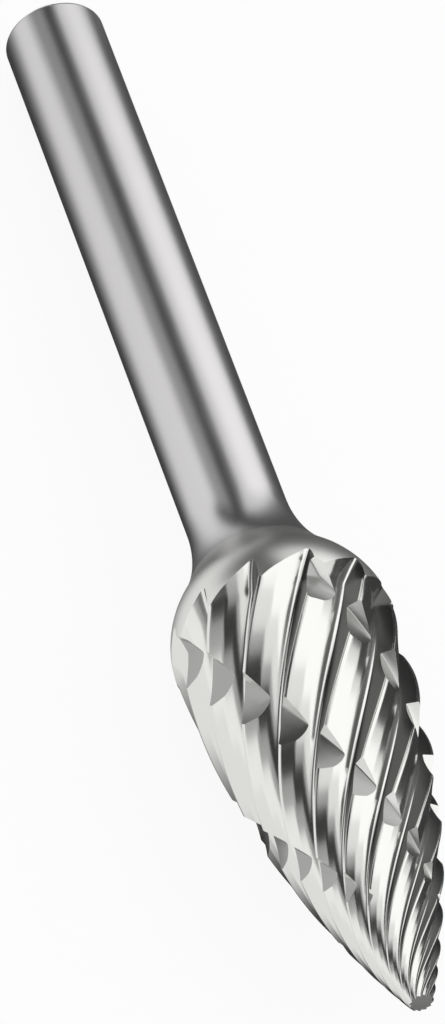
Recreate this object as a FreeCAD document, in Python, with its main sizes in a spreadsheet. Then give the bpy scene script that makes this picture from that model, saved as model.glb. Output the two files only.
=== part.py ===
import FreeCAD, Part
import Sketcher

import math
import os

# Carbide burr with a pointed, bow-sided head.
# A solid carbide head with right-hand spiral teeth is brazed face to face
# onto a plain steel shank. Left-hand spiral chip breakers notch the teeth.
# All lengths are in millimetres and all angles in degrees.
#
# Both pieces are made upright, with the shank's free end at height 0 and the
# point upwards. At the end they are laid down together, the way the burr
# lies on a bench: on two of its teeth and on the rim of its shank.

SIZES = [
    # shank
    ("shank_diameter", 6.0),
    ("shank_length", 45.0),
    ("end_chamfer", 0.6),
    # hollow neck between shank and shoulder
    ("neck_radius", 9.9),
    # head
    ("head_diameter", 12.8),
    ("head_length", 32.0),
    ("shoulder_length", 5.4),
    ("tip_diameter", 1.4),
    ("grinding_allowance", 0.05),
    # teeth, measured where the head is widest; a share is a part of the tooth's pitch
    ("tooth_count", 12),
    ("helix_angle", 28.5),
    ("back_share", 0.74),
    ("tooth_depth", 1.07),
    ("runout_angle", 29.0),
    # chip breakers, measured where the head is widest
    ("breaker_count", 4),
    ("breaker_angle", 30.0),
    ("breaker_width", 2.2),
    ("breaker_depth", 0.72),
    ("breaker_wall", 0.4),
    ("breaker_turn", 93.6),
    ("breaker_tip_gap", 5.4),
    ("breaker_fade", 2.0),
    # the side that lies upwards, as a turn about the axis
    ("upward_side", 83.0),
]

LOFT_TURN = math.radians(15.0)   # turn of a spiral from one section of a form to the next
OVERRUN = 1.0                    # how far a form runs past the joint
TIP_OVERRUN = 0.3                # how far it runs past the tip, as a share of the tip's radius
BREAKER_REACH = 0.4              # how far a breaker's cutter stands out of the head
CREST_POINTS = 60                # points along a crest, tried against the bench
ROLL_STEPS = 120                 # resting places tried over one tooth
LEAN_ROUNDS = 4                  # rounds that bring head and shank down to one bench


# The document and its sheet of sizes

doc = FreeCAD.newDocument("carbide_burr")
sheet = doc.addObject("Spreadsheet::Sheet", "sizes")
for row, (alias, value) in enumerate(SIZES, start=1):
    sheet.set(f"A{row}", alias)
    sheet.set(f"B{row}", str(value))
    sheet.setAlias(f"B{row}", alias)
doc.recompute()


def size(alias):
    """The number that the sheet holds under this name."""
    return float(getattr(sheet, alias))


# Heights and radii along the axis that several pieces share

shank_radius = size("shank_diameter") / 2
head_radius = size("head_diameter") / 2
tip_radius = size("tip_diameter") / 2
joint_height = size("shank_length")
tip_height = joint_height + size("head_length")
wide_height = joint_height + size("shoulder_length")
point_length = tip_height - wide_height

# The crests of the teeth follow one bow, upright where the head is widest
bow_sag = head_radius - tip_radius
bow_radius = (point_length ** 2 + bow_sag ** 2) / (2 * bow_sag)
bow_centre_radius = head_radius - bow_radius

# Below its widest place the blank is a ball, which runs into the neck's hollow arc
blank_radius = head_radius + size("grinding_allowance")
neck_centre_radius = shank_radius + size("neck_radius")
centre_gap = blank_radius + size("neck_radius")
shoulder = math.acos(neck_centre_radius / centre_gap)
neck_height = wide_height - centre_gap * math.sin(shoulder)
joint_turn = math.asin((joint_height - neck_height) / size("neck_radius"))
joint_radius = neck_centre_radius - size("neck_radius") * math.cos(joint_turn)

# The same places, as the sketches work them out from the sheet
BLANK_RADIUS = "(sizes.head_diameter / 2 + sizes.grinding_allowance)"
WIDE_HEIGHT = "(sizes.shank_length + sizes.shoulder_length)"
NECK_CENTRE_RADIUS = "(sizes.shank_diameter / 2 + sizes.neck_radius)"
NECK_HEIGHT = (
    f"{WIDE_HEIGHT} - sqrt(({BLANK_RADIUS} + sizes.neck_radius) ^ 2 - {NECK_CENTRE_RADIUS} ^ 2)"
)


# Sketches of the two turned profiles: x is the radius and y the height

START, END, CENTRE = range(1, 4)
ORIGIN = (-1, START)


class Profile:
    """A half section on a body's own upright plane, and the solid turned from it."""

    def __init__(self, label):
        self.body = doc.addObject("PartDesign::Body", label)
        self.body.Label = label
        self.sketch = self.body.newObject("Sketcher::SketchObject", f"{label}_profile")
        planes = self.body.Origin.OriginFeatures
        upright = next(plane for plane in planes if plane.Role == "XZ_Plane")
        self.sketch.AttachmentSupport = [(upright, "")]
        self.sketch.MapMode = "FlatFace"

    def line(self, start, end):
        """A straight edge between two (radius, height) points."""
        edge = Part.LineSegment(FreeCAD.Vector(*start, 0), FreeCAD.Vector(*end, 0))
        return self.sketch.addGeometry(edge)

    def arc(self, centre, radius, first, last):
        """A round edge, anticlockwise from the first angle to the last, in radians."""
        circle = Part.Circle(FreeCAD.Vector(*centre, 0), FreeCAD.Vector(0, 0, 1), radius)
        return self.sketch.addGeometry(Part.ArcOfCircle(circle, first, last))

    def hold(self, kind, *items):
        """A constraint without a size."""
        return self.sketch.addConstraint(Sketcher.Constraint(kind, *items))

    def measure(self, name, expression, kind, *items):
        """A named dimension, bound to the sheet."""
        index = self.hold(kind, *items)
        self.sketch.renameConstraint(index, name)
        self.sketch.setExpression(f"Constraints.{name}", expression)

    def turn(self):
        """Turn the profile into a solid about the upright axis."""
        turned = self.body.newObject("PartDesign::Revolution", f"{self.body.Name}_turned")
        turned.Profile = self.sketch
        turned.ReferenceAxis = (self.sketch, ["V_Axis"])
        turned.Angle = 360
        self.body.Tip = turned
        doc.recompute()
        return self.body


def turned_shank():
    """The shank: a chamfered free end, a plain cylinder and the lower part of the neck."""
    shank = Profile("shank")
    chamfer = size("end_chamfer")
    flat = shank.line((0, 0), (shank_radius - chamfer, 0))
    rim = shank.line((shank_radius - chamfer, 0), (shank_radius, chamfer))
    side = shank.line((shank_radius, chamfer), (shank_radius, neck_height))
    neck = shank.arc((neck_centre_radius, neck_height), size("neck_radius"),
                     math.pi - joint_turn, math.pi)
    joint = shank.line((joint_radius, joint_height), (0, joint_height))
    axis = shank.line((0, joint_height), (0, 0))
    shank.hold("Coincident", flat, END, rim, START)
    shank.hold("Coincident", rim, END, side, START)
    shank.hold("Tangent", side, END, neck, END)
    shank.hold("Coincident", neck, START, joint, START)
    shank.hold("Coincident", joint, END, axis, START)
    shank.hold("Coincident", axis, END, flat, START)
    shank.hold("Coincident", flat, START, *ORIGIN)
    shank.hold("Horizontal", flat)
    shank.hold("Vertical", side)
    shank.hold("Horizontal", joint)
    shank.hold("Vertical", axis)
    shank.measure("chamfer_width", "sizes.end_chamfer",
                  "DistanceX", flat, END, side, START, chamfer)
    shank.measure("chamfer_height", "sizes.end_chamfer",
                  "DistanceY", flat, END, side, START, chamfer)
    shank.measure("shank_radius", "sizes.shank_diameter / 2",
                  "DistanceX", *ORIGIN, side, START, shank_radius)
    shank.measure("neck_radius", "sizes.neck_radius", "Radius", neck, size("neck_radius"))
    shank.measure("neck_height", NECK_HEIGHT, "DistanceY", *ORIGIN, side, END, neck_height)
    shank.measure("shank_length", "sizes.shank_length",
                  "DistanceY", *ORIGIN, joint, START, joint_height)
    return shank.turn()


def turned_blank():
    """The head before its teeth are ground: upper neck, ball and bowed point."""
    blank = Profile("head_blank")
    flat_radius = tip_radius + size("grinding_allowance")
    bow_centre = blank_radius - bow_radius
    bow_turn = math.asin(point_length / bow_radius)
    joint = blank.line((0, joint_height), (joint_radius, joint_height))
    neck = blank.arc((neck_centre_radius, neck_height), size("neck_radius"),
                     math.pi - shoulder, math.pi - joint_turn)
    ball = blank.arc((0, wide_height), blank_radius, -shoulder, 0)
    bow = blank.arc((bow_centre, wide_height), bow_radius, 0, bow_turn)
    tip = blank.line((flat_radius, tip_height), (0, tip_height))
    axis = blank.line((0, tip_height), (0, joint_height))
    blank.hold("Coincident", joint, END, neck, END)
    blank.hold("Tangent", neck, START, ball, START)
    blank.hold("Tangent", ball, END, bow, START)
    blank.hold("PointOnObject", ball, CENTRE, -2)
    blank.hold("Coincident", bow, END, tip, START)
    blank.hold("Coincident", tip, END, axis, START)
    blank.hold("Coincident", axis, END, joint, START)
    blank.hold("Vertical", *ORIGIN, axis, START)
    blank.hold("Horizontal", joint)
    blank.hold("Horizontal", tip)
    blank.hold("Vertical", axis)
    blank.hold("Horizontal", bow, CENTRE, bow, START)
    blank.measure("joint_height", "sizes.shank_length",
                  "DistanceY", *ORIGIN, joint, START, joint_height)
    blank.measure("neck_radius", "sizes.neck_radius", "Radius", neck, size("neck_radius"))
    blank.measure("neck_centre", NECK_CENTRE_RADIUS,
                  "DistanceX", *ORIGIN, neck, CENTRE, neck_centre_radius)
    blank.measure("wide_height", WIDE_HEIGHT, "DistanceY", *ORIGIN, bow, START, wide_height)
    blank.measure("blank_radius", BLANK_RADIUS,
                  "DistanceX", *ORIGIN, bow, START, blank_radius)
    blank.measure("flat_radius", "sizes.tip_diameter / 2 + sizes.grinding_allowance",
                  "DistanceX", *ORIGIN, tip, START, flat_radius)
    blank.measure("tip_height", "sizes.shank_length + sizes.head_length",
                  "DistanceY", *ORIGIN, tip, START, tip_height)
    return blank.turn()


# Spirals on the head. Teeth and breakers keep the same angle to the axis all
# the way, so they wind faster as the bowed side narrows. Below the widest
# place they lift outwards, and so run out on the shoulder.

bow_offset = bow_centre_radius / bow_radius
bow_factor = 1 / math.sqrt(1 - bow_offset ** 2)
bow_ratio = math.sqrt((1 - bow_offset) / (1 + bow_offset))


def spiral_turn(height, angle):
    """How far a spiral of this angle has turned, in radians, from the widest place."""
    rise = height - wide_height
    if rise <= 0:
        return math.tan(angle) * rise / head_radius
    half = math.tan(math.asin(rise / bow_radius) / 2)
    return math.tan(angle) * 2 * bow_factor * math.atanh(bow_ratio * half)


def spiral_height(turn, angle):
    """The height where a spiral of this angle has turned so far."""
    if turn <= 0:
        return wide_height + turn * head_radius / math.tan(angle)
    half = math.tanh(turn / (math.tan(angle) * 2 * bow_factor)) / bow_ratio
    return wide_height + bow_radius * math.sin(2 * math.atan(half))


def bow_scale(height):
    """Radius of the bowed side at this height, as a share of the head's radius."""
    rise = max(height - wide_height, 0)
    return (bow_centre_radius + math.sqrt(bow_radius ** 2 - rise ** 2)) / head_radius


def run_out(height):
    """How far the teeth and breakers have lifted outwards at this height."""
    return max(wide_height - height, 0) * math.tan(math.radians(size("runout_angle")))


def loft_runs(last, angle):
    """Heights of a form's sections, an even turn apart, in one run to the widest place and one on."""
    runs = []
    for low, high in ((joint_height - OVERRUN, wide_height), (wide_height, last)):
        start = spiral_turn(low, angle)
        whole = spiral_turn(high, angle) - start
        steps = math.ceil(whole / LOFT_TURN)
        inner = [spiral_height(start + whole * step / steps, angle) for step in range(1, steps)]
        runs.append([low, *inner, high])
    return runs


def polar(radius, turn, height):
    """A point by its distance from the axis, its turn about it and its height."""
    return FreeCAD.Vector(radius * math.cos(turn), radius * math.sin(turn), height)


def rail(points):
    """A smooth edge line through these points, evenly parametrised."""
    curve = Part.BSplineCurve()
    share = 1 / (len(points) - 1)
    curve.interpolate(Points=points, Parameters=[index * share for index in range(len(points))])
    return curve


def strip(first, second):
    """The ruled face between two rails."""
    surface = Part.BSplineSurface()
    poles = [list(pair) for pair in zip(first.getPoles(), second.getPoles())]
    surface.buildFromPolesMultsKnots(
        poles, first.getMultiplicities(), [2, 2], first.getKnots(), [0, 1], False, False, first.Degree, 1
    )
    return surface.toShape()


def barred_solid(section, runs):
    """A twisted bar with straight-sided sections, in runs of heights that follow each other.

    section gives the corners of the bar at a height.
    """
    faces = []
    for heights in runs:
        rails = [rail(list(points)) for points in zip(*map(section, heights))]
        faces += [strip(first, second) for first, second in zip(rails, rails[1:] + rails[:1])]
    for height in (runs[0][0], runs[-1][-1]):
        corners = section(height)
        faces.append(Part.Face(Part.makePolygon([*corners, corners[0]])))
    shell = Part.makeShell(faces)
    shell.sewShape()
    solid = Part.makeSolid(shell)
    if solid.Volume < 0:
        solid.reverse()
    return solid


# Teeth

pitch = 2 * math.pi / size("tooth_count")

# Each corner of one tooth: its share of the pitch and its rise over the crests
TOOTH_CORNERS = [
    (0, 0),
    (size("back_share"), -size("tooth_depth")),
]


def tooth_section(height):
    """The toothed outline at this height: each tooth's back falls to the next tooth's rake."""
    scale = bow_scale(height)
    turned = spiral_turn(height, math.radians(size("helix_angle")))
    return [
        polar(scale * (head_radius + rise) + run_out(height), turned - (tooth + share) * pitch, height)
        for tooth in range(int(size("tooth_count")))
        for share, rise in TOOTH_CORNERS
    ]


def tooth_form():
    """The twisted toothed bar that the blank is trimmed to."""
    last = tip_height + TIP_OVERRUN * tip_radius
    runs = loft_runs(last, math.radians(size("helix_angle")))
    form = doc.addObject("Part::Feature", "tooth_form")
    form.Shape = barred_solid(tooth_section, runs)
    return form


# Chip breakers

breaker_end = tip_height - size("breaker_tip_gap")
breaker_span = size("breaker_width") / math.cos(math.radians(size("breaker_angle")))
floor_slope = size("breaker_depth") / (breaker_span - size("breaker_wall"))
wall_slope = size("breaker_depth") / size("breaker_wall")


def breaker_turned(height):
    """Where the first chip breaker's middle has turned to at this height."""
    angle = math.radians(size("breaker_angle"))
    return math.radians(size("breaker_turn")) - spiral_turn(height, angle)


def breaker_section(height):
    """A cutter's three corners: a long sloping floor and a steep wall meet at the lowest."""
    scale = bow_scale(height)
    turned = breaker_turned(height)
    depth = size("breaker_depth") * min(1, (breaker_end - height) / size("breaker_fade"))
    lowest = breaker_span / 2 - size("breaker_wall")
    reach = size("breaker_depth") + BREAKER_REACH
    corners = [
        (lowest - reach / floor_slope, BREAKER_REACH),
        (lowest, -depth),
        (lowest + reach / wall_slope, BREAKER_REACH),
    ]
    return [
        polar(scale * (head_radius + rise) + run_out(height), turned - along / head_radius, height)
        for along, rise in corners
    ]


def breaker_cutters():
    """All the chip breakers' cutters, spaced evenly round the axis."""
    runs = loft_runs(breaker_end, math.radians(size("breaker_angle")))
    cutter = barred_solid(breaker_section, runs)
    copies = []
    for index in range(int(size("breaker_count"))):
        copy = cutter.copy()
        copy.rotate(FreeCAD.Vector(), FreeCAD.Vector(0, 0, 1), index * 360 / size("breaker_count"))
        copies.append(copy)
    cutters = doc.addObject("Part::Feature", "breaker_cutters")
    cutters.Shape = Part.makeCompound(copies)
    return cutters


def ground_head(blank):
    """The blank trimmed to its teeth, and the teeth notched by the chip breakers."""
    toothed = doc.addObject("Part::MultiCommon", "toothed_head")
    toothed.Shapes = [blank, tooth_form()]
    head = doc.addObject("Part::Cut", "cutting_head")
    head.Label = "cutting_head"
    head.Base = toothed
    head.Tool = breaker_cutters()
    doc.recompute()
    return head


# Laying the burr down

def laid(roll, lean):
    """The turn that lays the upright burr along x, its tip raised by the lean."""
    about_axis = FreeCAD.Rotation(FreeCAD.Vector(0, 0, 1), roll)
    over = FreeCAD.Rotation(FreeCAD.Vector(0, 1, 0), 90 - lean)
    return over.multiply(about_axis)


def notched(turn, height):
    """Whether a chip breaker crosses this place on a crest."""
    spacing = 2 * math.pi / size("breaker_count")
    away = (turn - breaker_turned(height) + spacing / 2) % spacing - spacing / 2
    return abs(away) * head_radius < breaker_span / 2


def crest_points():
    """Points along what the notches leave of the crests, from the shoulder to halfway along."""
    foot = wide_height - size("grinding_allowance") / math.tan(math.radians(size("runout_angle")))
    step = size("head_length") / 2 / CREST_POINTS
    angle = math.radians(size("helix_angle"))
    points = []
    for index in range(CREST_POINTS + 1):
        height = foot + index * step
        turned = spiral_turn(height, angle)
        radius = bow_scale(height) * head_radius
        turns = [turned - tooth * pitch for tooth in range(int(size("tooth_count")))]
        points += [polar(radius, turn, height) for turn in turns if not notched(turn, height)]
    return points


def touching_down(crests, roll):
    """For this roll, the turn at which a crest and the shank's rim touch one bench, and its lean."""
    rim = polar(shank_radius, -math.radians(roll), size("end_chamfer"))
    lean = math.degrees(math.atan((head_radius - shank_radius) / wide_height))
    for _ in range(LEAN_ROUNDS):
        turn = laid(roll, lean)
        head_low = min((turn.multVec(point) for point in crests), key=lambda point: point.z)
        shank_low = turn.multVec(rim)
        lean -= math.degrees((head_low.z - shank_low.z) / (head_low.x - shank_low.x))
    return laid(roll, lean), lean


def resting_turn():
    """The turn in which the head lies lowest between two teeth, nearest to the upward side."""
    crests = crest_points()
    step = math.degrees(pitch) / ROLL_STEPS
    first = 180 - size("upward_side") - math.degrees(pitch) / 2
    tries = [touching_down(crests, first + index * step) for index in range(ROLL_STEPS)]
    return min(tries, key=lambda found: found[1])[0]


def lay_down(*pieces):
    """Lay all pieces down together: on the bench, their common box centred over x and y."""
    turn = resting_turn()
    for piece in pieces:
        piece.Placement = FreeCAD.Placement(FreeCAD.Vector(), turn)
    box = Part.makeCompound([piece.Shape for piece in pieces]).optimalBoundingBox(False, False)
    shift = FreeCAD.Vector(-box.Center.x, -box.Center.y, -box.ZMin)
    for piece in pieces:
        piece.Placement = FreeCAD.Placement(shift, turn)


def check(pieces):
    """Stop if an object failed to build or a piece is not one sound solid."""
    for item in doc.Objects:
        if "Invalid" in item.State or "Error" in item.State:
            raise RuntimeError(f"{item.Label} did not build")
    for piece in pieces:
        if piece.Shape.isNull() or not piece.Shape.isValid() or len(piece.Shape.Solids) != 1:
            raise RuntimeError(f"{piece.Label} is not one sound solid")


cutting_head = ground_head(turned_blank())
shank = turned_shank()
lay_down(cutting_head, shank)
check([cutting_head, shank])

os.makedirs("parts", exist_ok=True)
for node in (cutting_head, shank):
    node.Shape.exportStep(f"parts/{node.Label}.step")
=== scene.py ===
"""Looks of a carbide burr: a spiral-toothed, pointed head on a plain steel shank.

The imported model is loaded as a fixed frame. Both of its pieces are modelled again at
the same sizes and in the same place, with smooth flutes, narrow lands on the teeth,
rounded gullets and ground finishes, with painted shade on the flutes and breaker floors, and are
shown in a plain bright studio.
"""

import logging
import math
from dataclasses import dataclass, field
from enum import Enum

import bmesh
import bpy
from mathutils import Matrix, Vector

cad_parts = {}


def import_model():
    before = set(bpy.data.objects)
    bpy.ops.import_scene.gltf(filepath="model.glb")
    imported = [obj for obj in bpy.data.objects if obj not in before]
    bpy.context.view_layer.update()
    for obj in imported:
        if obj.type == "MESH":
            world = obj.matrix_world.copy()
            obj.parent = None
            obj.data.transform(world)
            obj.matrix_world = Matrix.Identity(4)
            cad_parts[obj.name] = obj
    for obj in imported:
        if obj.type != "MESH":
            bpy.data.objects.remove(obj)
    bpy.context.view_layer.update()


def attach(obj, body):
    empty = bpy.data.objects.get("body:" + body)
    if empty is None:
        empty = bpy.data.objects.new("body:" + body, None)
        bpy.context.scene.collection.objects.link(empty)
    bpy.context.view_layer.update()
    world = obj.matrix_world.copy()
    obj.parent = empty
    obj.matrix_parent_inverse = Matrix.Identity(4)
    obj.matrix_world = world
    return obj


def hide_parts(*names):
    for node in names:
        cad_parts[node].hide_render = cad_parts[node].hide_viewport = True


MM = 0.001
LOG = logging.getLogger("carbide_burr")
PAINTED_SHADE = "painted_shade"
GRAIN = "grain"
WHITE = (1.0, 1.0, 1.0, 1.0)
BLACK = (0.0, 0.0, 0.0, 1.0)
# Points of a turned form and of a cut form that are nearer than these are merged.
SEAM = 1e-5
CUT_SEAM = 1e-4

Colour = tuple[float, float, float]


# Finishes


class Operator(Enum):
    """The Math node operations that the finishes use."""

    ADD = "ADD"
    SUBTRACT = "SUBTRACT"
    MULTIPLY = "MULTIPLY"
    ABSOLUTE = "ABSOLUTE"


@dataclass
class Value:
    """A node's output that can be used in sums written as Python.

    Attributes:
        graph: The node graph that the output belongs to.
        socket: The output itself, or nothing for a node that has none.
    """

    graph: "Graph"
    socket: bpy.types.NodeSocket | None

    def _with(self, operator: Operator, first: object, second: object) -> "Value":
        """Add a Math node for one operation and return its output."""
        return self.graph.node(
            "ShaderNodeMath", {"operation": operator.value}, {0: first, 1: second}
        )

    def __add__(self, other: object) -> "Value":
        """Return self + other."""
        return self._with(Operator.ADD, self, other)

    __radd__ = __add__

    def __sub__(self, other: object) -> "Value":
        """Return self - other."""
        return self._with(Operator.SUBTRACT, self, other)

    def __rsub__(self, other: object) -> "Value":
        """Return other - self."""
        return self._with(Operator.SUBTRACT, other, self)

    def __mul__(self, other: object) -> "Value":
        """Return self * other."""
        return self._with(Operator.MULTIPLY, self, other)

    __rmul__ = __mul__

    def __abs__(self) -> "Value":
        """Return the value without its sign."""
        return self._with(Operator.ABSOLUTE, self, 0.0)


class Graph:
    """The node graph of one material or of the world."""

    def __init__(self, owner: bpy.types.Material | bpy.types.World) -> None:
        """Start an empty graph.

        Args:
            owner: The material or world whose nodes are made anew.
        """
        owner.use_nodes = True
        self.tree = owner.node_tree
        self.tree.nodes.clear()

    def node(self, kind: str, settings: dict[str, object], sockets: dict[int | str, object],
             output: int | str = 0) -> Value:
        """Add one node.

        Args:
            kind: The node's type.
            settings: Its properties, which are set first.
            sockets: Its inputs by name or number, as plain values or linked outputs.
            output: The output that is handed back.

        Returns:
            The chosen output, ready for sums.
        """
        made = self.tree.nodes.new(kind)
        for name, setting in settings.items():
            setattr(made, name, setting)
        for name, value in sockets.items():
            if isinstance(value, Value):
                self.tree.links.new(value.socket, made.inputs[name])
            else:
                made.inputs[name].default_value = value
        return Value(self, made.outputs[output]) if made.outputs else Value(self, None)


@dataclass(frozen=True)
class GroundFinish:
    """Bare metal with the fine marks of its ground finish, and on the head painted shade on some
    faces.

    Attributes:
        name: The material's name.
        colour: What it reflects.
        roughness: How soft its reflections are.
        roughness_spread: How far the roughness wanders over the surface.
        mark_size: Width of the wheel marks, in millimetres.
        mark_depth: Height of the marks for the bump, in millimetres.
        stretch: How much longer the marks are along x, y and z than across.
        by_making: Whether the faces carry their own painted shade, which darkens the colour, and
            say how rough each of them is.
        mark_detail: How many finer layers the marks have.
        mark_crispness: How strong those layers are.
        clouds: How many clouds of wandering roughness there are to a millimetre.
        cloud_detail: How many finer layers the clouds have.
        cloud_crispness: How strong those layers are.
    """

    name: str
    colour: Colour
    roughness: float
    roughness_spread: float
    mark_size: float
    mark_depth: float
    stretch: tuple[float, float, float]
    by_making: bool = False
    mark_detail: float = 4.0
    mark_crispness: float = 0.6
    clouds: float = 0.35
    cloud_detail: float = 2.0
    cloud_crispness: float = 0.5

    def material(self, turn: tuple[float, float, float] = (0.0, 0.0, 0.0)) -> bpy.types.Material:
        """Make the material.

        Args:
            turn: Euler turn that lines the marks up with the piece, in radians.

        Returns:
            The finished material.
        """
        made = bpy.data.materials.new(self.name)
        graph = Graph(made)
        place = graph.node("ShaderNodeTexCoord", {}, {}, "Object")
        lined = graph.node(
            "ShaderNodeMapping",
            {"vector_type": "TEXTURE"},
            {"Vector": place, "Rotation": turn, "Scale": self.stretch},
        )
        marks = graph.node(
            "ShaderNodeTexNoise",
            {},
            {
                "Vector": lined,
                "Scale": 1 / (self.mark_size * MM),
                "Detail": self.mark_detail,
                "Roughness": self.mark_crispness,
            },
        )
        clouds = graph.node(
            "ShaderNodeTexNoise",
            {},
            {
                "Vector": place,
                "Scale": self.clouds / MM,
                "Detail": self.cloud_detail,
                "Roughness": self.cloud_crispness,
            },
        )
        rough = self.roughness + self.roughness_spread * (clouds - 0.5)
        colour: Value | tuple[float, ...] = (*self.colour, 1.0)
        if self.by_making:
            rough = rough + graph.node("ShaderNodeAttribute", {"attribute_name": GRAIN}, {}, "Fac")
            # Painted shade: a number on each face darkens the colour towards black.
            painted_shade = graph.node("ShaderNodeAttribute", {"attribute_name": PAINTED_SHADE}, {}, "Fac")
            colour = graph.node(
                "ShaderNodeMix",
                {"data_type": "RGBA"},
                {"Factor": painted_shade, 6: BLACK, 7: colour},
                2,
            )
        bump = graph.node(
            "ShaderNodeBump",
            {},
            {"Strength": 1.0, "Distance": self.mark_depth * MM, "Height": marks},
        )
        surface = graph.node(
            "ShaderNodeBsdfPrincipled",
            {},
            {
                "Base Color": colour,
                "Metallic": 1.0,
                "Roughness": rough,
                "Normal": bump,
            },
        )
        graph.node("ShaderNodeOutputMaterial", {}, {"Surface": surface})
        return made


CARBIDE = GroundFinish(
    name="ground_carbide",
    colour=(0.72, 0.72, 0.70),
    roughness=0.2,
    roughness_spread=0.06,
    mark_size=0.05,
    mark_depth=0.0006,
    stretch=(8.0, 1.0, 1.0),
    by_making=True,
)
SHANK_STEEL = GroundFinish(
    name="polished_steel",
    colour=(0.63, 0.62, 0.62),
    roughness=0.3,
    roughness_spread=0.05,
    mark_size=0.04,
    mark_depth=0.0004,
    stretch=(1.0, 6.0, 6.0),
)


# Sizes and place


@dataclass(frozen=True)
class BurrSizes:
    """Sizes that head and shank share, in millimetres and degrees, upright from the shank's end.

    Attributes:
        shank_radius: Radius of the plain shank.
        shank_length: Height of the brazed joint.
        neck_radius: Radius of the hollow arc between shank and shoulder.
        shoulder_length: From the joint up to the widest place.
        head_radius: Radius over the crests at the widest place.
        head_length: From the joint to the tip.
        tip_radius: Radius of the flat tip.
        allowance: How far the blank stands over the crests.
        run_out: Slope by which the teeth lift outwards under the widest place, in degrees.
    """

    shank_radius: float = 3.0
    shank_length: float = 45.0
    neck_radius: float = 9.9
    shoulder_length: float = 5.4
    head_radius: float = 6.4
    head_length: float = 32.0
    tip_radius: float = 0.7
    allowance: float = 0.05
    run_out: float = 29.0

    @property
    def wide_height(self) -> float:
        """Height of the widest place."""
        return self.shank_length + self.shoulder_length

    @property
    def tip_height(self) -> float:
        """Height of the flat tip."""
        return self.shank_length + self.head_length

    @property
    def ball_radius(self) -> float:
        """Radius of the blank's shoulder, which is a ball."""
        return self.head_radius + self.allowance

    @property
    def bow_radius(self) -> float:
        """Radius of the arc that the crests follow."""
        sag = self.head_radius - self.tip_radius
        return ((self.tip_height - self.wide_height) ** 2 + sag**2) / (2 * sag)

    @property
    def neck_centre(self) -> tuple[float, float]:
        """Distance from the axis and height of the neck arc's centre."""
        gap = self.ball_radius + self.neck_radius
        away = self.shank_radius + self.neck_radius
        return away, self.wide_height - math.sqrt(gap**2 - away**2)

    @property
    def shoulder(self) -> float:
        """Angle under the widest place where ball and neck meet, in radians."""
        away = self.shank_radius + self.neck_radius
        return math.acos(away / (self.ball_radius + self.neck_radius))

    @property
    def joint_turn(self) -> float:
        """Angle on the neck's arc where the joint cuts it, in radians."""
        return math.asin((self.shank_length - self.neck_centre[1]) / self.neck_radius)

    def bow_scale(self, height: float) -> float:
        """Return the radius over the crests at a height, as a share of the widest.

        Args:
            height: Height above the shank's end.

        Returns:
            The share, from about 0.1 at the tip to 1.
        """
        rise = max(height - self.wide_height, 0.0)
        centre = self.head_radius - self.bow_radius
        return (centre + math.sqrt(self.bow_radius**2 - rise**2)) / self.head_radius

    def lift(self, height: float) -> float:
        """Return how far teeth and notches have lifted outwards at a height.

        Args:
            height: Height above the shank's end.

        Returns:
            The lift, above zero under the widest place.
        """
        return max(self.wide_height - height, 0.0) * math.tan(math.radians(self.run_out))

    def spiral_turn(self, height: float, angle: float) -> float:
        """Return how far a spiral has turned since the widest place.

        Args:
            height: Height above the shank's end.
            angle: The spiral's angle to the axis, in degrees, the same all the way.

        Returns:
            The turn in radians, below zero under the widest place.
        """
        slope = math.tan(math.radians(angle))
        rise = height - self.wide_height
        if rise <= 0:
            return slope * rise / self.head_radius
        offset = (self.head_radius - self.bow_radius) / self.bow_radius
        factor = 1 / math.sqrt(1 - offset**2)
        ratio = math.sqrt((1 - offset) / (1 + offset))
        half = math.tan(math.asin(rise / self.bow_radius) / 2)
        return slope * 2 * factor * math.atanh(ratio * half)


@dataclass(frozen=True)
class LyingPlace:
    """How the upright burr lies in the frame.

    Attributes:
        roll: Turn about the burr's own axis, in degrees.
        lean: How far the point is raised, in degrees.
        base: Where the shank's free end comes, in millimetres.
    """

    roll: float = 97.25
    lean: float = 3.54263
    base: tuple[float, float, float] = (-38.373458, 0.0, 3.333228)

    @property
    def turn(self) -> Matrix:
        """The turn that lays the burr along x."""
        about_axis = Matrix.Rotation(math.radians(self.roll), 4, "Z")
        over = Matrix.Rotation(math.radians(90 - self.lean), 4, "Y")
        return over @ about_axis

    @property
    def matrix(self) -> Matrix:
        """From upright millimetres to the frame's metres."""
        return Matrix.Scale(MM, 4) @ Matrix.Translation(self.base) @ self.turn


SIZES = BurrSizes()
PLACE = LyingPlace()


# Modelling helpers


def polar(radius: float, angle: float, height: float) -> Vector:
    """Return a point by its distance from the axis, its angle in radians and its height."""
    return Vector((radius * math.cos(angle), radius * math.sin(angle), height))


def swept_arc(shape: bmesh.types.BMesh, start: bmesh.types.BMVert, centre: Vector, angle: float,
              steps: int) -> bmesh.types.BMVert:
    """Sweep a vertex into an arc in the upright xz plane.

    Args:
        shape: The mesh that holds the vertex.
        start: The vertex that the arc starts from.
        centre: The arc's centre.
        angle: The arc's angle in radians, positive from x towards z.
        steps: The number of edges.

    Returns:
        The vertex at the arc's other end.
    """
    spun = bmesh.ops.spin(
        shape, geom=[start], cent=centre, axis=Vector((0, -1, 0)), angle=angle, steps=steps
    )
    return next(item for item in spun["geom_last"] if isinstance(item, bmesh.types.BMVert))


def turned(shape: bmesh.types.BMesh, steps: int) -> None:
    """Turn the profile in the xz plane into a closed solid about z.

    Args:
        shape: The mesh that holds the profile.
        steps: The number of steps round the axis.
    """
    bmesh.ops.spin(
        shape, geom=shape.verts[:] + shape.edges[:], cent=Vector(), axis=Vector((0, 0, 1)),
        angle=math.tau, steps=steps, use_merge=True,
    )
    bmesh.ops.remove_doubles(shape, verts=shape.verts[:], dist=SEAM)
    bmesh.ops.recalc_face_normals(shape, faces=shape.faces[:])


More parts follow.
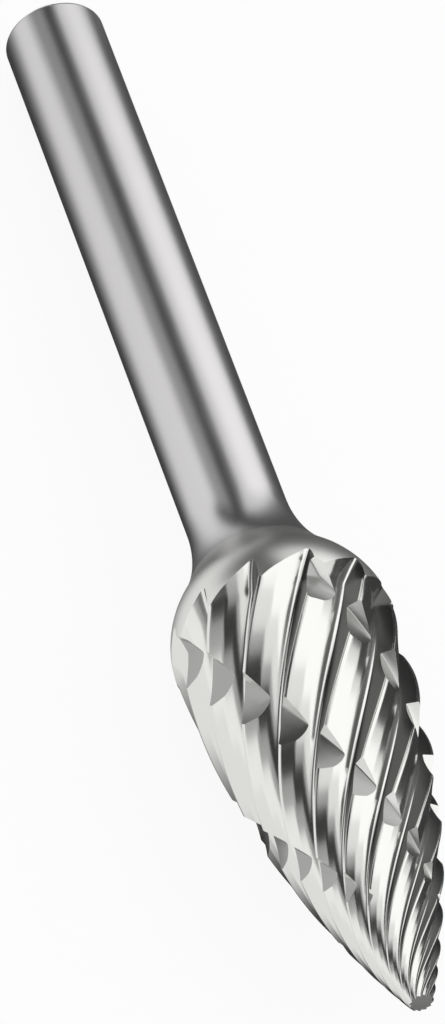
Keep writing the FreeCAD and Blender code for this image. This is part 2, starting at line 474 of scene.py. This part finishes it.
def crisp(shape: bmesh.types.BMesh, angle: float) -> None:
    """Shade the faces smooth, apart from edges sharper than an angle or between two makings.

    Args:
        shape: The mesh to shade.
        angle: The angle in degrees.
    """
    limit = math.radians(angle)
    for face in shape.faces:
        face.smooth = True
    for edge in shape.edges:
        if len(edge.link_faces) == 2:
            makings = {face.material_index for face in edge.link_faces}
            edge.smooth = len(makings) == 1 and edge.calc_face_angle(0.0) < limit


def mesh_object(name: str, shape: bmesh.types.BMesh) -> bpy.types.Object:
    """Make an object of a mesh and free the mesh.

    Args:
        name: The object's name.
        shape: The mesh, which is used up.

    Returns:
        The object, linked into the scene.
    """
    data = bpy.data.meshes.new(name)
    shape.to_mesh(data)
    shape.free()
    made = bpy.data.objects.new(name, data)
    bpy.context.scene.collection.objects.link(made)
    return made


# The shank


@dataclass
class Shank:
    """The plain steel shank with the lower part of the neck.

    Attributes:
        chamfer: Width of the chamfer at the free end, in millimetres.
        edge_rounding: Rounding of the chamfer's own edges.
        edge_segments: Steps of that rounding.
        neck_steps: Steps along the neck's arc.
        steps: Steps round the axis.
        crease: Edges sharper than this are shaded as edges, in degrees.
    """

    chamfer: float = 0.6
    edge_rounding: float = 0.12
    edge_segments: int = 4
    neck_steps: int = 20
    steps: int = 160
    crease: float = 30.0

    def build(self) -> bpy.types.Object:
        """Turn the shank and dress it.

        Returns:
            The finished piece, in its place in the frame.
        """
        shape = bmesh.new()
        radius = SIZES.shank_radius
        centre_radius, centre_height = SIZES.neck_centre
        flat = shape.verts.new((0, 0, 0))
        rim = shape.verts.new((radius - self.chamfer, 0, 0))
        side = shape.verts.new((radius, 0, self.chamfer))
        neck = shape.verts.new((radius, 0, centre_height))
        for first, second in ((flat, rim), (rim, side), (side, neck)):
            shape.edges.new((first, second))
        bmesh.ops.bevel(
            shape, geom=[rim, side], offset=self.edge_rounding, segments=self.edge_segments,
            affect="VERTICES", profile=0.5, material=-1,
        )
        centre = Vector((centre_radius, 0, centre_height))
        joint = swept_arc(shape, neck, centre, -SIZES.joint_turn, self.neck_steps)
        axis = shape.verts.new((0, 0, SIZES.shank_length))
        shape.edges.new((joint, axis))
        turned(shape, self.steps)
        crisp(shape, self.crease)
        bmesh.ops.transform(shape, matrix=PLACE.matrix, verts=shape.verts[:])
        piece = mesh_object("polished_shank", shape)
        piece.data.materials.append(SHANK_STEEL.material((0.0, -math.radians(PLACE.lean), 0.0)))
        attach(piece, "root")
        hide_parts("shank")
        return piece


# The head


class Making(Enum):
    """Which tool a face of the head comes from. Two makings meet in a crisp edge."""

    TEETH = 0
    BLANK = 1
    BREAKER = 2
    FLUTE = 3
    WALL = 4


class Trim(Enum):
    """What a form does to the toothed bar."""

    KEEP_INSIDE = "INTERSECT"
    CUT_AWAY = "DIFFERENCE"


@dataclass
class CuttingHead:
    """The carbide head with its teeth and chip breakers.

    Attributes:
        teeth: Number of teeth.
        helix: Angle of the teeth to the axis, in degrees.
        corners: Each corner of a tooth: share of the pitch, rise over the crests, rounding.
        corner_segments: Steps of each corner's rounding.
        long_side: Sides of the tooth's outline longer than this are cut up, in millimetres.
        side_cuts: Number of cuts across such a side.
        bar_past: How far the toothed bar reaches past the joint and past the tip.
        rake_start: Where the rake face gives way to the crest, as a share of the land.
        breakers: Number of chip-breaker spirals.
        breaker_angle: Their angle to the axis, in degrees.
        breaker_turn: Where the first one crosses the widest place, in degrees.
        breaker_width: Width across a notch.
        breaker_depth: Depth of a notch.
        breaker_wall: Width of its steep wall.
        breaker_reach: How far the cutter stands over the crests.
        breaker_rounding: Rounding of a notch's bottom.
        breaker_segments: Steps of that rounding.
        breaker_long_side: Sides of the cutter's outline longer than this are cut up.
        breaker_cuts: Number of cuts across such a side.
        breaker_end: From the last notch to the tip.
        breaker_fade: Length over which the notches get shallow there.
        step: Height between two sections of a swept form.
        blank_steps: Steps of the blank along the neck, the shoulder and the bow.
        round_steps: Steps of the blank round the axis.
        crease: Edges sharper than this are shaded as edges, in degrees.
        painted_shade_and_roughness: The painted shade of each making, where 1 is its own colour
            and less is darker, and how much rougher each making leaves the metal.
    """

    teeth: int = 12
    helix: float = 28.5
    corners: tuple[tuple[float, float, float], ...] = (
        (0.0, 0.0, 0.035),
        (0.065, -0.015, 0.05),
        (0.62, -0.775, 0.30),
        (0.75, -1.10, 0.22),
        (0.82, -0.93, 0.18),
    )
    corner_segments: int = 4
    long_side: float = 0.35
    side_cuts: int = 6
    bar_past: tuple[float, float] = (1.0, 0.2)
    rake_start: float = 0.25
    breakers: int = 4
    breaker_angle: float = 30.0
    breaker_turn: float = 93.6
    breaker_width: float = 2.2
    breaker_depth: float = 0.72
    breaker_wall: float = 0.4
    breaker_reach: float = 0.4
    breaker_rounding: float = 0.1
    breaker_segments: int = 3
    breaker_long_side: float = 0.8
    breaker_cuts: int = 3
    breaker_end: float = 5.4
    breaker_fade: float = 2.0
    step: float = 0.18
    blank_steps: tuple[int, int, int] = (8, 16, 30)
    round_steps: int = 192
    crease: float = 35.0
    # Painted shade: the first number darkens each making's faces, the flutes and breaker floors
    # most; the second is how much rougher that making leaves the metal.
    painted_shade_and_roughness: dict[Making, tuple[float, float]] = field(default_factory=lambda: {
        Making.TEETH: (1.0, 0.0),
        Making.BLANK: (1.0, 0.15),
        Making.BREAKER: (0.52, 0.10),
        Making.FLUTE: (0.15, 0.12),
        Making.WALL: (1.0, 0.10),
    })

    @property
    def pitch(self) -> float:
        """Angle from one tooth to the next, in radians."""
        return math.tau / self.teeth

    def sweep(self, shape: bmesh.types.BMesh, first: float, last: float, angle: float,
              fade: float = 0.0) -> None:
        """Sweep the closed outline in a mesh up the bowed head.

        Args:
            shape: The mesh, with the outline at the widest place's size and height 0.
            first: Height of the first section.
            last: Height of the last section.
            angle: Angle of the spiral in degrees, below zero for a left-hand one.
            fade: Length before the end over which the outline's inner points rise.
        """
        def placed(verts: list[bmesh.types.BMVert], height: float) -> None:
            """Move a section's points to a height.

            Args:
                verts: The section's points, in the outline's order.
                height: Height above the shank's end.
            """
            turn = math.copysign(1.0, angle) * SIZES.spiral_turn(height, abs(angle))
            scale = SIZES.bow_scale(height)
            share = min(1.0, (last - height) / fade) if fade else 1.0
            for vert, (radius, at) in zip(verts, outline):
                inner = SIZES.head_radius + (radius - SIZES.head_radius) * share
                reach = inner if radius < SIZES.head_radius else radius
                vert.co = polar(scale * reach + SIZES.lift(height), at + turn, height)

        ring = shape.verts[:]
        outline = [(vert.co.xy.length, math.atan2(vert.co.y, vert.co.x)) for vert in ring]
        edges = shape.edges[:]
        bmesh.ops.edgeloop_fill(shape, edges=edges)
        count = max(2, round((last - first) / self.step))
        placed(ring, first)
        current = edges
        order = ring
        for index in range(1, count + 1):
            made = bmesh.ops.extrude_edge_only(shape, edges=current)["geom"]
            fresh = [item for item in made if isinstance(item, bmesh.types.BMVert)]
            current = [item for item in made if isinstance(item, bmesh.types.BMEdge)
                       and all(vert in set(fresh) for vert in item.verts)]
            order = self.matched(order, fresh)
            placed(order, first + (last - first) * index / count)
        bmesh.ops.edgeloop_fill(shape, edges=current)
        bmesh.ops.recalc_face_normals(shape, faces=shape.faces[:])

    @staticmethod
    def matched(old: list[bmesh.types.BMVert],
                new: list[bmesh.types.BMVert]) -> list[bmesh.types.BMVert]:
        """Put the new section's vertices in the order of those that they were drawn from.

        Args:
            old: The vertices of the section before.
            new: The vertices of the new section, in any order.

        Returns:
            The new vertices, in the old order.
        """
        fresh = set(new)
        return [
            next(end for edge in vert.link_edges if (end := edge.other_vert(vert)) in fresh)
            for vert in old
        ]

    def tooth_bar(self) -> bpy.types.Object:
        """Make the twisted bar with all the teeth, longer than the head.

        Returns:
            The bar, upright and in millimetres.
        """
        shape = bmesh.new()
        radius = SIZES.head_radius
        back_middle = (self.corners[1][0] + self.corners[2][0]) / 2
        back_rise = (self.corners[1][1] + self.corners[2][1]) / 2
        drawn = [
            (back_middle - 1, back_rise, 0.0),
            *((share - 1, rise, rounding) for share, rise, rounding in self.corners[2:]),
            *self.corners[:2],
            (back_middle, back_rise, 0.0),
        ]
        points = [shape.verts.new(polar(radius + rise, -share * self.pitch, 0))
                  for share, rise, _ in drawn]
        for first, second in zip(points, points[1:]):
            shape.edges.new((first, second))
        for point, (_, _, rounding) in zip(points, drawn):
            if rounding:
                bmesh.ops.bevel(
                    shape, geom=[point], offset=rounding, segments=self.corner_segments,
                    affect="VERTICES", profile=0.5, material=-1,
                )
        long_edges = [edge for edge in shape.edges if edge.calc_length() > self.long_side]
        bmesh.ops.subdivide_edges(shape, edges=long_edges, cuts=self.side_cuts)
        bmesh.ops.spin(
            shape, geom=shape.verts[:] + shape.edges[:], cent=Vector(), axis=Vector((0, 0, 1)),
            angle=math.tau - self.pitch, steps=self.teeth - 1, use_duplicate=True,
        )
        bmesh.ops.remove_doubles(shape, verts=shape.verts[:], dist=CUT_SEAM)
        below, above = self.bar_past
        self.sweep(shape, SIZES.shank_length - below, SIZES.tip_height + above, self.helix)
        foot = (self.corners[-2][0] + self.corners[-1][0]) / 2
        top = 1 - self.corners[1][0] * self.rake_start
        for face in shape.faces:
            middle = face.calc_center_median()
            turn = math.atan2(middle.y, middle.x) - SIZES.spiral_turn(middle.z, self.helix)
            if foot < -turn / self.pitch % 1 < top:
                face.material_index = Making.FLUTE.value
        return mesh_object("tooth_bar", shape)

    def blank(self) -> bpy.types.Object:
        """Make the turned blank with its neck, ball-shaped shoulder and flat tip.

        Returns:
            The blank, upright and in millimetres.
        """
        shape = bmesh.new()
        centre = Vector((SIZES.neck_centre[0], 0, SIZES.neck_centre[1]))
        joint_radius = centre.x - SIZES.neck_radius * math.cos(SIZES.joint_turn)
        neck_steps, ball_steps, bow_steps = self.blank_steps
        floor = shape.verts.new((0, 0, SIZES.shank_length))
        joint = shape.verts.new((joint_radius, 0, SIZES.shank_length))
        shape.edges.new((floor, joint))
        foot = swept_arc(shape, joint, centre, SIZES.joint_turn - SIZES.shoulder, neck_steps)
        middle = Vector((0, 0, SIZES.wide_height))
        widest = swept_arc(shape, foot, middle, SIZES.shoulder, ball_steps)
        bow_centre = Vector((SIZES.ball_radius - SIZES.bow_radius, 0, SIZES.wide_height))
        bow_turn = math.asin((SIZES.tip_height - SIZES.wide_height) / SIZES.bow_radius)
        tip = swept_arc(shape, widest, bow_centre, bow_turn, bow_steps)
        end = shape.verts.new((0, 0, SIZES.tip_height))
        shape.edges.new((tip, end))
        turned(shape, self.round_steps)
        for face in shape.faces:
            face.material_index = Making.BLANK.value
        return mesh_object("head_blank", shape)

    def breaker(self, index: int) -> bpy.types.Object:
        """Make the cutter of one chip-breaker spiral.

        Args:
            index: Which of the spirals.

        Returns:
            The cutter, upright and in millimetres.
        """
        shape = bmesh.new()
        reach = self.breaker_reach
        span = self.breaker_width / math.cos(math.radians(self.breaker_angle))
        floor_run = (self.breaker_depth + reach) * (span - self.breaker_wall) / self.breaker_depth
        wall_run = (self.breaker_depth + reach) * self.breaker_wall / self.breaker_depth
        lowest = span / 2 - self.breaker_wall
        corners = [
            (lowest - floor_run, reach),
            (lowest, -self.breaker_depth),
            (lowest + wall_run, reach),
        ]
        start = math.radians(self.breaker_turn) + index * math.tau / self.breakers
        points = [
            shape.verts.new(polar(SIZES.head_radius + rise, start - along / SIZES.head_radius, 0))
            for along, rise in corners
        ]
        for first, second in zip(points, points[1:] + points[:1]):
            shape.edges.new((first, second))
        bmesh.ops.bevel(
            shape, geom=[points[1]], offset=self.breaker_rounding, segments=self.breaker_segments,
            affect="VERTICES", profile=0.5, material=-1,
        )
        long_edges = [edge for edge in shape.edges if edge.calc_length() > self.breaker_long_side]
        bmesh.ops.subdivide_edges(shape, edges=long_edges, cuts=self.breaker_cuts)
        self.sweep(shape, SIZES.shank_length, SIZES.tip_height - self.breaker_end,
                   -self.breaker_angle, self.breaker_fade)
        for face in shape.faces:
            middle = face.calc_center_median()
            spiral = SIZES.spiral_turn(middle.z, self.breaker_angle)
            turn = start - spiral - math.atan2(middle.y, middle.x)
            along = (turn + math.pi) % math.tau - math.pi
            steep = along * SIZES.head_radius > lowest
            face.material_index = Making.WALL.value if steep else Making.BREAKER.value
        return mesh_object(f"breaker_cutter_{index}", shape)

    @staticmethod
    def ground(bar: bpy.types.Object,
               tools: list[tuple[bpy.types.Object, Trim]]) -> bpy.types.Mesh:
        """Trim the bar with the other forms.

        Args:
            bar: The tooth bar.
            tools: Each other form, with what it does to the bar.

        Returns:
            The trimmed mesh. The forms are removed.
        """
        for tool, kind in tools:
            cut = bar.modifiers.new(tool.name, "BOOLEAN")
            cut.object = tool
            cut.operation = kind.value
            cut.solver = "EXACT"
            cut.material_mode = "INDEX"
        bpy.context.view_layer.update()
        trimmed = bar.evaluated_get(bpy.context.evaluated_depsgraph_get())
        result = bpy.data.meshes.new_from_object(trimmed)
        for form in [bar, *(tool for tool, _ in tools)]:
            bpy.data.objects.remove(form)
        return result

    def build(self) -> bpy.types.Object:
        """Grind the head and dress it.

        Returns:
            The finished piece, in its place in the frame.
        """
        bar = self.tooth_bar()
        tools = [(self.blank(), Trim.KEEP_INSIDE)]
        tools += [(self.breaker(index), Trim.CUT_AWAY) for index in range(self.breakers)]
        trimmed = self.ground(bar, tools)
        shape = bmesh.new()
        shape.from_mesh(trimmed)
        bmesh.ops.remove_doubles(shape, verts=shape.verts[:], dist=CUT_SEAM)
        crisp(shape, self.crease)
        painted_shades = shape.faces.layers.float.new(PAINTED_SHADE)
        grains = shape.faces.layers.float.new(GRAIN)
        for face in shape.faces:
            # Each face gets its making's painted shade and its added roughness.
            face[painted_shades], face[grains] = self.painted_shade_and_roughness[Making(face.material_index)]
            face.material_index = 0
        bmesh.ops.transform(shape, matrix=PLACE.matrix, verts=shape.verts[:])
        piece = mesh_object("ground_head", shape)
        piece.data.materials.append(CARBIDE.material())
        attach(piece, "root")
        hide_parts("cutting_head")
        return piece


# The studio


@dataclass(frozen=True)
class Panel:
    """A flat panel beside the burr, which is a soft lamp or a card that only metal mirrors.

    Attributes:
        name: Its name.
        turn: Its place round the burr's axis, from the side that faces the camera to the right,
            in degrees.
        rise: Its place along the axis, above zero towards the tip, in degrees.
        length: Its size along the axis, in metres.
        width: Its size round the axis, in metres.
        light: Its brightness, where 1 is white. A lamp adds it to what is behind the lamp.
        distance: From the burr to its plane, in metres.
        shift: How far its middle is moved towards the tip in that plane, in metres.
    """

    name: str
    turn: float
    rise: float
    length: float
    width: float
    light: float
    distance: float = 0.5
    shift: float = 0.0

    def place(self, facing: Matrix) -> Matrix:
        """Return the panel's place.

        Args:
            facing: The burr's own directions in the frame: the side that faces the camera, the
                right and the tip.

        Returns:
            The matrix of a panel whose front looks at the burr along its own negative z.
        """
        turn = math.radians(self.turn)
        rise = math.radians(self.rise)
        around = Vector((math.cos(turn), math.sin(turn), 0))
        out = around * math.cos(rise) + Vector((0, 0, math.sin(rise)))
        along = Vector((0, 0, math.cos(rise))) - around * math.sin(rise)
        axes = facing @ Matrix((along, out.cross(along), out)).transposed()
        middle = out * self.distance + along * self.shift
        return Matrix.Translation(facing @ middle) @ axes.to_4x4()

    def lamp(self, facing: Matrix) -> None:
        """Hang the panel as a soft lamp.

        Args:
            facing: The burr's own directions in the frame.
        """
        data = bpy.data.lights.new(self.name, "AREA")
        data.shape = "RECTANGLE"
        data.size, data.size_y = self.length, self.width
        data.energy = self.light * math.pi * self.length * self.width
        lamp = bpy.data.objects.new(self.name, data)
        bpy.context.scene.collection.objects.link(lamp)
        lamp.matrix_world = self.place(facing)

    def card(self, facing: Matrix) -> None:
        """Stand the panel up as a card of an even brightness.

        Args:
            facing: The burr's own directions in the frame.
        """
        shape = bmesh.new()
        bmesh.ops.create_grid(shape, x_segments=1, y_segments=1, size=0.5)
        bmesh.ops.scale(shape, vec=(self.length, self.width, 1), verts=shape.verts[:])
        bmesh.ops.transform(shape, matrix=self.place(facing), verts=shape.verts[:])
        card = mesh_object(self.name, shape)
        made = bpy.data.materials.new(self.name)
        graph = Graph(made)
        glow = graph.node("ShaderNodeEmission", {}, {"Color": WHITE, "Strength": self.light})
        graph.node("ShaderNodeOutputMaterial", {}, {"Surface": glow})
        card.data.materials.append(made)
        card.visible_camera = False
        card.visible_diffuse = False
        card.visible_shadow = False


@dataclass
class Studio:
    """Floor, light and camera.

    Attributes:
        facing: Side of the upright burr that faces the camera, in degrees.
        tilt: Angle between the burr's axis and the picture, in degrees.
        distance: From the camera to the burr, in millimetres.
        roll: How far the burr leans in the picture, in degrees.
        aim_height: Height on the axis that the camera's middle row meets.
        aim_side: How far the axis lies to the right of the picture's middle.
        focal: Focal length in pixels of the picture.
        picture_height: Height of the picture in pixels.
        sensor: Height of the camera's sensor, in millimetres.
        clip: The nearest and farthest distance that the camera sees, in metres.
        plain_light: Strength of the plain light from all round.
        floor_size: Half the floor's width, in metres.
        floor_paint: How light the floor's paint is.
        floor_white: How far the camera sees the floor as plain white, without its shadow.
        painted_floor_shade_light: How light the painted shade on the floor is, which only the
            metal mirrors.
        lamps: The soft lamps.
        cards: The grey and dark cards between which the metal mirrors the white room.
        painted_floor_shade_edge: Where the painted shade beside the burr starts and is fully dark,
            along y in metres.
        painted_floor_shade_end: Where it is fully dark and where it ends, along x in metres.
        painted_floor_shade_gap: Where it goes on beyond that end, along y in metres.
    """

    facing: float = 119.1
    tilt: float = 40.1
    distance: float = 519.0
    roll: float = 20.8
    aim_height: float = 39.56
    aim_side: float = 0.63
    focal: float = 9150.0
    picture_height: float = 1024.0
    sensor: float = 36.0
    clip: tuple[float, float] = (0.01, 10.0)
    plain_light: float = 0.7
    floor_size: float = 3.0
    floor_paint: float = 0.9
    floor_white: float = 0.92
    painted_floor_shade_light: float = 0.05
    lamps: tuple[Panel, ...] = (
        Panel("right_softbox", 70.0, 0.0, 1.2, 0.45, 0.35),
        Panel("left_softbox", -45.0, 0.0, 1.2, 0.24, 0.12),
    )
    cards: tuple[Panel, ...] = (
        Panel("end_card", 36.0, -90.0, 0.50, 1.00, 0.03, 0.65),
        Panel("roof_card", -3.0, 0.0, 3.6, 0.56, 0.46, 0.60, -0.60),
        Panel("dark_strip", 13.0, 0.0, 2.00, 0.30, 0.01, 0.56, -1.30),
        Panel("short_strip", 0.0, 0.0, 0.70, 0.22, 0.03, 0.56, 0.05),
        Panel("right_card", 118.0, 0.0, 2.4, 0.26, 0.06, 0.62),
    )
    painted_floor_shade_edge: tuple[float, float] = (-0.010, -0.003)
    painted_floor_shade_end: tuple[float, float] = (0.045, 0.060)
    painted_floor_shade_gap: tuple[float, float] = (0.010, 0.020)

    @property
    def directions(self) -> Matrix:
        """The facing side, the right and the tip's direction, as a matrix's columns."""
        turn = PLACE.turn.to_3x3()
        axis = turn @ Vector((0, 0, 1))
        side = turn @ polar(1.0, math.radians(self.facing), 0)
        return Matrix((side, side.cross(axis), axis)).transposed()

    def camera(self) -> None:
        """Put the camera at the photograph's viewing angle."""
        side, right, axis = self.directions.col
        tilt = math.radians(self.tilt)
        towards = side * math.cos(tilt) + axis * math.sin(tilt)
        down = axis * math.cos(tilt) - side * math.sin(tilt)
        roll = math.radians(self.roll)
        picture_right = right * math.cos(roll) + down * math.sin(roll)
        picture_up = right * math.sin(roll) - down * math.cos(roll)
        aim = Vector(PLACE.base) + axis * self.aim_height - right * self.aim_side
        place = (aim + towards * self.distance) * MM
        data = bpy.data.cameras.new("camera")
        data.sensor_width = self.sensor
        data.lens = self.sensor * self.focal / self.picture_height
        data.clip_start, data.clip_end = self.clip
        camera = bpy.data.objects.new("camera", data)
        bpy.context.scene.collection.objects.link(camera)
        camera.matrix_world = Matrix.Translation(place) @ Matrix(
            (picture_right, picture_up, towards)
        ).transposed().to_4x4()
        bpy.context.scene.camera = camera

    def world(self) -> None:
        """Make the surroundings: white where seen or mirrored, and plain light elsewhere."""
        world = bpy.data.worlds.new("studio")
        bpy.context.scene.world = world
        graph = Graph(world)
        seen = sum(
            graph.node("ShaderNodeLightPath", {}, {}, kind)
            for kind in ("Is Camera Ray", "Is Glossy Ray", "Is Transmission Ray")
        )
        plain = graph.node(
            "ShaderNodeBackground", {}, {"Color": WHITE, "Strength": self.plain_light}
        )
        white = graph.node("ShaderNodeBackground", {}, {"Color": WHITE, "Strength": 1.0})
        mixed = graph.node("ShaderNodeMixShader", {}, {0: seen, 1: plain, 2: white})
        graph.node("ShaderNodeOutputWorld", {}, {"Surface": mixed})

    def floor(self) -> None:
        """Lay the plain white floor, which metal mirrors with painted shade beside the burr on the
        right, while the camera sees it white.
        """
        shape = bmesh.new()
        bmesh.ops.create_grid(shape, x_segments=1, y_segments=1, size=self.floor_size)
        floor = mesh_object("floor", shape)
        made = bpy.data.materials.new("white_floor")
        graph = Graph(made)
        seen = graph.node("ShaderNodeLightPath", {}, {}, "Is Camera Ray")
        mirrored = (graph.node("ShaderNodeLightPath", {}, {}, "Is Glossy Ray")
                    + graph.node("ShaderNodeLightPath", {}, {}, "Is Transmission Ray"))
        paint = graph.node("ShaderNodeBsdfDiffuse", {}, {"Color": (*[self.floor_paint] * 3, 1.0)})
        white = graph.node("ShaderNodeEmission", {}, {"Color": WHITE, "Strength": 1.0})
        # Painted shade: near the burr the floor is dark only in what the metal mirrors, in place
        # of the floor's shade there.
        dark = graph.node("ShaderNodeEmission", {}, {"Color": WHITE, "Strength": self.painted_floor_shade_light})
        place = graph.node("ShaderNodeTexCoord", {}, {}, "Object")
        across = graph.node("ShaderNodeSeparateXYZ", {}, {"Vector": place}, "Y")
        along = abs(graph.node("ShaderNodeSeparateXYZ", {}, {"Vector": place}, "X"))
        edges = ((across, self.painted_floor_shade_edge), (along, self.painted_floor_shade_end), (across, self.painted_floor_shade_gap))
        beside, beyond, apart = (
            graph.node(
                "ShaderNodeMapRange",
                {"interpolation_type": "SMOOTHSTEP"},
                {"Value": where, "From Min": start, "From Max": end},
            )
            for where, (start, end) in edges
        )
        painted_floor_shade = beside * (1 - beyond * (1 - apart))
        lightened = seen * self.floor_white
        plain_view = graph.node("ShaderNodeMixShader", {}, {0: lightened, 1: paint, 2: white})
        mirror_view = graph.node("ShaderNodeMixShader", {}, {0: painted_floor_shade, 1: white, 2: dark})
        both = graph.node("ShaderNodeMixShader", {}, {0: mirrored, 1: plain_view, 2: mirror_view})
        graph.node("ShaderNodeOutputMaterial", {}, {"Surface": both})
        floor.data.materials.append(made)

    def build(self) -> None:
        """Set the whole studio up."""
        self.floor()
        self.world()
        for panel in self.lamps:
            panel.lamp(self.directions)
        for panel in self.cards:
            panel.card(self.directions)
        self.camera()
        bpy.context.scene.view_settings.view_transform = "Standard"


def main() -> None:
    """Build the burr and the studio around it."""
    logging.basicConfig(level=logging.INFO, format="%(message)s")
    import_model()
    for part in (Shank(), CuttingHead()):
        piece = part.build()
        LOG.info("%s: %d faces", piece.name, len(piece.data.polygons))
    Studio().build()


if __name__ == "__main__":
    main()
